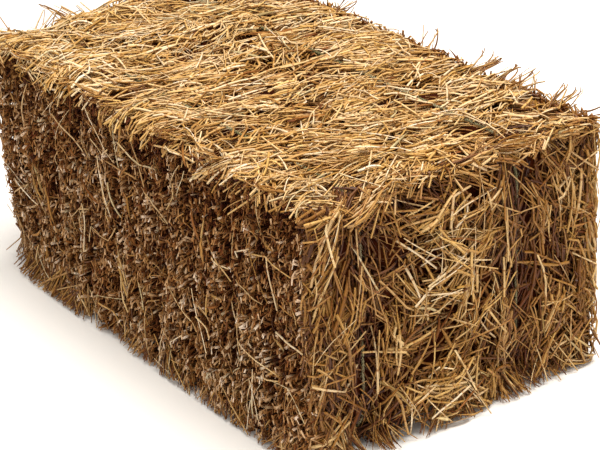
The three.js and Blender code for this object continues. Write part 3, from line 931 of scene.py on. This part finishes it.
def makeCore(name):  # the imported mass, drawn in under the loose stems
    source = addObject(name + "_core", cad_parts[name].data.copy())
    weld = source.modifiers.new("weld", "WELD")
    weld.merge_threshold = core["weld"]
    remesh = source.modifiers.new("remesh", "REMESH")
    remesh.mode = "VOXEL"
    remesh.voxel_size = core["voxel"]
    graph = bpy.context.evaluated_depsgraph_get()
    result = bpy.data.meshes.new_from_object(source.evaluated_get(graph), depsgraph=graph)
    bpy.data.objects.remove(source)
    points = np.zeros(len(result.vertices) * 3, np.float32)
    result.vertices.foreach_get("co", points)
    x, y, z = points.reshape(-1, 3).astype(float).T
    # Skewed, so that the lumps don't line up with the bale
    fine = ripple(z - x, y * 1.2 - z * 0.4, core["lump"] * core["fineSize"], core["fineSeed"])
    noise = ripple(x * 1.3 + z, y + x, core["lump"], core["lumpSeed"]) + core["fineShare"] * fine
    drawIn = core["inset"] + np.abs(noise) * core["rough"]
    middle = baleHeight / 2
    y = y * (1 - drawIn / halfWidth)
    y = y - bowed(x, y, z)
    z = middle + (z - middle) * (1 - drawIn / middle)
    low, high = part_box(name)
    if low.x < -halfLength + mm or high.x > halfLength - mm:  # the bale's first or last flake
        sign = math.copysign(1, low.x + high.x)
        inner = low.x if sign > 0 else high.x
        share = np.clip((x - inner) * sign / (high.x - low.x), 0, 1)
        x = x - sign * share * (drawIn + core["endInset"])
    result.vertices.foreach_set("co", np.stack([x, y, z], axis=1).astype(np.float32).ravel())
    corners = np.zeros(len(result.loops), np.int32)
    result.loops.foreach_get("vertex_index", corners)
    hue = np.interp(noise, (-1, 1), hues["core"])
    # Painted shade: the core takes dark rows of the chart, darkest at the foot of the bale
    up = (core["row"] + core["rise"] * z / baleHeight) / chart["rows"]
    uv = result.uv_layers.new(name="OFBake")
    uv.data.foreach_set("uv", np.stack([hue, up], axis=1)[corners].astype(np.float32).ravel())
    result.materials.clear()
    result.materials.append(pressedStraw)
    result.shade_smooth()
    return addObject(name + "_core", result)


def joinAs(name, pieces):
    for piece in bpy.context.selected_objects:
        piece.select_set(False)
    for piece in pieces:
        piece.select_set(True)
    bpy.context.view_layer.objects.active = pieces[0]
    bpy.ops.object.join()
    pieces[0].name = name
    pieces[0].data.name = name
    return pieces[0]


def triangles(piece):
    return sum(len(p.vertices) - 2 for p in piece.data.polygons)


def makeFlake(name):
    low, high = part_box(name)
    start = -math.inf if low.x < -halfLength + mm else low.x
    end = math.inf if high.x > halfLength - mm else high.x
    pieces = [makeCore(name)]
    for kind, groups in fibres.items():
        tree, values = sweeps[kind]
        for number, group in enumerate(groups):
            middle = group["points"][..., 0].mean(1)
            chosen = (middle >= start - flakeGap) & (middle < end)
            if chosen.any():
                mine = {key: value[chosen] for key, value in group.items()}
                pieces.append(sweep(f"{name}_{kind}_{number}", mine, tree, values))
    flake = joinAs(name + "_straw", pieces)
    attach(flake, "root")
    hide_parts(name)
    return flake


for name in flakeNames:
    straw = makeFlake(name)
    print(straw.name, triangles(straw), "triangles")

# The same loop as the CAD cord: straight runs, and quarter turns where it goes round the bale
twine = {
    "diameter": 4.5 * mm, "plies": 3, "pitch": 15 * mm, "step": 2.8 * mm, "plySides": 6,
    "plyOffset": 0.26, "plyRadius": 0.24,  # of the diameter
    "sinkOnFaces": 9 * mm, "sinkOnEnds": 17 * mm, "turnRadius": 58 * mm, "turnSteps": 16,
    "endDiameter": 0.9, "wrapRadius": 0.72,  # of the knot's wraps and tails, against the diameter
    "knotHeight": 24 * mm, "knotFilled": 0.6, "knotWraps": 3, "wrapSteps": 12, "wrapLean": 0.5 * mm,
    "tailLength": 34 * mm, "tailStart": 4 * mm, "tailOut": 3.5 * mm, "tailSpread": 9 * mm,
    "tailLean": 6 * mm, "tailCurve": (1.5, 1.4), "tailSteps": 8,
    "hairs": 420, "hairLength": (3 * mm, 9 * mm), "hairRadius": 0.16 * mm,
    "hairFoot": 0.3, "hairKnee": (0.5, 0.25), "hairRun": 0.9, "hairRise": (0.2, 0.7),
}


def sisalMaterial():
    # Sisal: coarse pale leaf fibre in a three-ply twist, weathered to grey-green, dull and hairy.
    # A ply is 7 mm round: 60 fibres of 0.1 mm. Along it they change 9 times in each turn of 15 mm.
    material, tree = startMaterial("sisal")
    lay = addNode(tree, "ShaderNodeAttribute", {"attribute_name": "lay"})
    stretched = addNode(tree, "ShaderNodeMapping", inputs={
        0: lay.outputs["Vector"], "Scale": (60.0, 9.0, 1.0),
    })
    fibre = addNode(tree, "ShaderNodeTexNoise", inputs={"Vector": stretched, "Scale": 1.0, "Detail": 3.0})
    tone = addNode(tree, "ShaderNodeValToRGB", inputs={0: fibre})
    setRamp(tone, [(0.3, "#675a3c"), (0.45, "#8e8262"), (0.58, "#b0a584"), (0.72, "#d2cab0")])
    place = addNode(tree, "ShaderNodeTexCoord")
    patches = addNode(tree, "ShaderNodeTexNoise", inputs={
        "Vector": place.outputs["Object"], "Scale": 1 / (60 * mm), "Detail": 2.0,
    })
    weather = addNode(tree, "ShaderNodeValToRGB", inputs={0: patches})
    setRamp(weather, [(0.35, "#b4bba4"), (0.65, "#ffffff")])
    mixed = addNode(tree, "ShaderNodeMix", {"data_type": "RGBA", "blend_type": "MULTIPLY"}, {
        "Factor": 1.0, 6: tone, 7: weather,
    })
    bump = addNode(tree, "ShaderNodeBump", inputs={"Strength": 0.6, "Distance": 0.4 * mm, "Height": fibre})
    shader = addNode(tree, "ShaderNodeBsdfPrincipled", inputs={
        "Base Color": mixed.outputs[2], "Roughness": 0.9, "Specular IOR Level": 0.2,
        "Normal": bump,
    })
    addNode(tree, "ShaderNodeOutputMaterial", inputs={0: shader})
    return material


def twineTree(material):  # plies side by side, swept along a route while they turn
    tree, entry, sockets = startTree("layTwine", {
        "Plies": "Int", "Ply Sides": "Int", "Diameter": "Float", "Turns": "Float",
    })
    curve = addNode(tree, "GeometryNodeMeshToCurve", inputs={0: entry.outputs["Geometry"]})
    factor = addNode(tree, "GeometryNodeSplineParameter")
    turned = addNode(tree, "ShaderNodeMath", {"operation": "MULTIPLY"}, {
        0: factor.outputs["Factor"], 1: entry.outputs["Turns"],
    })
    tilt = addNode(tree, "ShaderNodeMath", {"operation": "MULTIPLY"}, {0: turned, 1: 2 * math.pi})
    twisted = addNode(tree, "GeometryNodeSetCurveTilt", inputs={"Curve": curve, "Tilt": tilt})
    route = addNode(tree, "GeometryNodeCaptureAttribute", {"domain": "POINT"}, {
        "Geometry": twisted, "far": turned,
    }, "far")
    plyOffset = addNode(tree, "ShaderNodeMath", {"operation": "MULTIPLY"}, {
        0: entry.outputs["Diameter"], 1: twine["plyOffset"],
    })
    plyRadius = addNode(tree, "ShaderNodeMath", {"operation": "MULTIPLY"}, {
        0: entry.outputs["Diameter"], 1: twine["plyRadius"],
    })
    centres = addNode(tree, "GeometryNodeMeshCircle", inputs={
        "Vertices": entry.outputs["Plies"], "Radius": plyOffset,
    })
    ply = addNode(tree, "GeometryNodeCurvePrimitiveCircle", inputs={
        "Resolution": entry.outputs["Ply Sides"], "Radius": plyRadius,
    })
    plies = addNode(tree, "GeometryNodeInstanceOnPoints", inputs={"Points": centres, "Instance": ply})
    bundle = addNode(tree, "GeometryNodeRealizeInstances", inputs={0: plies})
    section = addNode(tree, "GeometryNodeCaptureAttribute", {"domain": "POINT"}, {
        "Geometry": bundle, "around": factor.outputs["Factor"],
    }, "around")
    swept = addNode(tree, "GeometryNodeCurveToMesh", inputs={
        "Curve": route.outputs["Geometry"], "Profile Curve": section.outputs["Geometry"], "Fill Caps": True,
    })
    there = addNode(tree, "ShaderNodeMath", {"operation": "PINGPONG"}, {
        0: section.outputs["around"], 1: 0.5,
    })
    lay = addNode(tree, "ShaderNodeCombineXYZ", inputs={0: there, 1: route.outputs["far"]})
    perVertex = {"data_type": "FLOAT_VECTOR", "domain": "POINT"}
    stored = addNode(tree, "GeometryNodeStoreNamedAttribute", perVertex, {
        "Geometry": swept, "Name": "lay", "Value": lay,
    })
    endTree(tree, stored, material, True)
    return tree, sockets


sisal = sisalMaterial()
layTwine, twineSockets = twineTree(sisal)
hairSweep = sweepTree("sweepHairs", sisal, 3, 1.0, False, True)


def evenly(corners, step, closed):  # the same route with points a step apart
    corners = np.array(corners, float)
    if closed:
        corners = np.concatenate([corners, corners[:1]])
    far = np.concatenate([[0], np.cumsum(np.linalg.norm(np.diff(corners, axis=0), axis=1))])
    count = max(int(round(far[-1] / step)), 4)
    places = np.linspace(0, far[-1], count + 1)
    if closed:
        places = places[:-1]
    return np.stack([np.interp(places, far, corners[:, axis]) for axis in range(3)], axis=1), far[-1]


def layCord(name, corners, closed, diameter):
    points, length = evenly(corners, twine["step"], closed)
    count = len(points)
    mesh = bpy.data.meshes.new(name)
    edges = [(i, i + 1) for i in range(count - 1)] + ([(count - 1, 0)] if closed else [])
    mesh.from_pydata(points.tolist(), edges, [])
    turns = float(round(length / twine["pitch"]))
    values = {"Plies": twine["plies"], "Ply Sides": twine["plySides"], "Diameter": diameter, "Turns": turns}
    values = {twineSockets[key]: value for key, value in values.items()}
    return plainMesh(addObject(name, mesh), layTwine, values, ("far", "around")), points


def twineLoop(y):
    r = twine["turnRadius"]
    x, low = halfLength - twine["sinkOnEnds"] - r, twine["sinkOnFaces"] + r
    high = baleHeight - twine["sinkOnFaces"] - r
    corners = []
    turns = ((-x, high, math.pi), (x, high, math.pi / 2), (x, low, 0), (-x, low, -math.pi / 2))
    for cx, cz, start in turns:
        for step in range(twine["turnSteps"] + 1):
            angle = start - (math.pi / 2) * step / twine["turnSteps"]
            corners.append((cx + r * math.cos(angle), y, cz + r * math.sin(angle)))
    return corners


def knotRoutes(y):  # wraps round the loop on the hidden end, and two tails that lean out of them
    x, middle = -halfLength + twine["sinkOnEnds"], baleHeight / 2
    radius = twine["wrapRadius"] * twine["diameter"]
    steps = twine["knotWraps"] * twine["wrapSteps"]
    wraps = []
    for step in range(steps + 1):
        angle = 2 * math.pi * step / twine["wrapSteps"]
        climb = (step / steps - 0.5) * twine["knotFilled"] * twine["knotHeight"]
        wraps.append((x - twine["wrapLean"] + radius * math.cos(angle), y + radius * math.sin(angle),
                      middle + climb))
    shares = [step / twine["tailSteps"] for step in range(twine["tailSteps"] + 1)]
    tails = [[
        (x - twine["tailOut"] - twine["tailLean"] * t ** twine["tailCurve"][0],
         y + side * twine["tailSpread"] * t ** twine["tailCurve"][1],
         middle + side * (twine["tailStart"] + (twine["tailLength"] - twine["tailStart"]) * t))
        for t in shares
    ] for side in (-1, 1)]
    return wraps, tails


def twineHairs(points, rng):  # loose fibres that stand off the twine
    count = twine["hairs"]
    spots = rng.integers(0, len(points) - 1, count)
    ahead = points[(spots + 1) % len(points)] - points[spots]
    ahead = ahead / np.linalg.norm(ahead, axis=1, keepdims=True)
    off = rng.normal(0, 1, (count, 3))
    off = off - (off * ahead).sum(1, keepdims=True) * ahead
    off = off / np.linalg.norm(off, axis=1, keepdims=True)
    length = rng.uniform(*twine["hairLength"], (count, 1))
    foot = points[spots] + off * twine["diameter"] * twine["hairFoot"]
    knee = foot + ahead * length * twine["hairKnee"][0] + off * length * twine["hairKnee"][1]
    rise = length * rng.uniform(*twine["hairRise"], (count, 1))
    tip = foot + ahead * length * twine["hairRun"] + off * rise
    return np.stack([foot, knee, tip], axis=1)


def makeTwine(name, y, seed):
    wraps, tails = knotRoutes(y)
    loop, points = layCord(name + "_loop", twineLoop(y), True, twine["diameter"])
    thinner = twine["diameter"] * twine["endDiameter"]
    pieces = [loop, layCord(name + "_wraps", wraps, False, thinner)[0]]
    for number, tail in enumerate(tails):
        pieces.append(layCord(f"{name}_tail_{number}", tail, False, thinner)[0])
    hairs = twineHairs(points, np.random.default_rng(seed))
    thin = {"radius": twine["hairRadius"], "roll": 0.0, "hue": 0.5, "shade": 0.9}
    thin = {key: np.full(hairs.shape[:2], value) for key, value in thin.items()}
    loose = sweep(name + "_hairs", {"points": hairs, **thin}, *hairSweep)
    loose.data.attributes.remove(loose.data.attributes["OFBake"])  # sisal needs no chart
    piece = joinAs(name + "_sisal", pieces + [loose])
    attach(piece, "root")
    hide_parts(name)
    return piece


for number, name in enumerate(twineNames):
    cord = makeTwine(name, float(twineRows[number]), seeds["hairs"] + number)
    print(cord.name, triangles(cord), "triangles")

stage = {"floorReach": 30.0, "floor": "#f6f5f3", "world": "#fff9f2", "worldStrength": 0.62}
lights = {
    "key": {"azimuth": 118, "elevation": 78, "distance": 3.4, "size": 3.0, "power": 190,
            "colour": "#fffaf2"},
    "fill": {"azimuth": 40, "elevation": 30, "distance": 4.0, "size": 3.0, "power": 22,
             "colour": "#fff8f0"},
}


def addFloor():
    far = stage["floorReach"]
    mesh = bpy.data.meshes.new("floor")
    mesh.from_pydata([(-far, -far, 0), (far, -far, 0), (far, far, 0), (-far, far, 0)], [], [(0, 1, 2, 3)])
    material = bpy.data.materials.new("paleFloor")
    material.use_nodes = True
    shader = material.node_tree.nodes["Principled BSDF"]
    shader.inputs["Base Color"].default_value = linearColour(stage["floor"])
    shader.inputs["Roughness"].default_value = 0.9
    mesh.materials.append(material)
    addObject("floor", mesh)


def addLight(name, settings):
    data = bpy.data.lights.new(name, "AREA")
    data.shape = "DISK"
    data.size = settings["size"]
    data.energy = settings["power"]
    data.color = linearColour(settings["colour"])[:3]
    towards = awayFrom(settings["azimuth"], settings["elevation"])
    turn = towards.to_track_quat("Z", "Y").to_matrix().to_4x4()
    addObject(name, data).matrix_world = Matrix.Translation(towards * settings["distance"]) @ turn


def addWorld():
    world = bpy.data.worlds.new("studio")
    world.use_nodes = True
    background = world.node_tree.nodes["Background"]
    background.inputs["Color"].default_value = linearColour(stage["world"])
    background.inputs["Strength"].default_value = stage["worldStrength"]
    bpy.context.scene.world = world
    bpy.context.scene.view_settings.view_transform = "Standard"


addFloor()
for name, settings in lights.items():
    addLight(name, settings)
addWorld()
print("stage lit")
